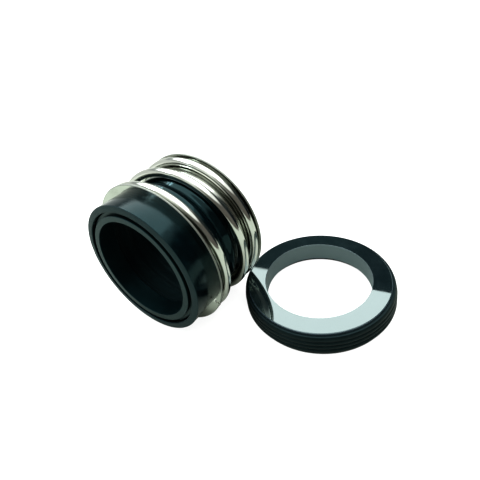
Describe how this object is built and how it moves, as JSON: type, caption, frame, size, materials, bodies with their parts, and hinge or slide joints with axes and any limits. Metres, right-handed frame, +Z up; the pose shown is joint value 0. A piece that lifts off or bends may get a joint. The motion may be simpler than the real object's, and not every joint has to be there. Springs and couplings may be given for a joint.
{
  "type": "mechanical seal",
  "caption": "Rubber bellows mechanical seal: spring-loaded head lying on its collar rims beside a flat stationary seat ring in a ribbed rubber boot.",
  "frame": {"origin": "centre of the seat's underside, on the surface that both halves lie on", "axes": "+Z up along the seat's axis, the head's axis along Y with its sealing face toward -Y, the head on the -X side of the seat"},
  "size_m": [0.1177, 0.0786, 0.0655],
  "materials": {
    "face_ring": "fine-ground dark hard carbide, dull",
    "bellows_rubber": "moulded black rubber, glossy between the collars",
    "pressed_steel": "bright pressed stainless sheet",
    "spring_wire": "drawn stainless wire, satin-bright",
    "lapped_ring": "dark hard carbide lapped to a mirror",
    "boot_rubber": "moulded black rubber, satin"
  },
  "bodies": {
    "head_and_seat": {"seal_ring": "face_ring", "bellows": "bellows_rubber", "front_collar": "pressed_steel", "spring": "spring_wire", "seat_ring": "lapped_ring", "seat_boot": "boot_rubber"},
    "rear": {"rear_collar": "pressed_steel"}
  },
  "joints": [
    {"name": "squeeze", "type": "slide", "parent": "head_and_seat", "child": "rear", "axis": [0, -1, 0], "range_m": [0, 0.008], "stiffness_N_per_m": 3400, "deforming": ["spring", "bellows"]}
  ]
}
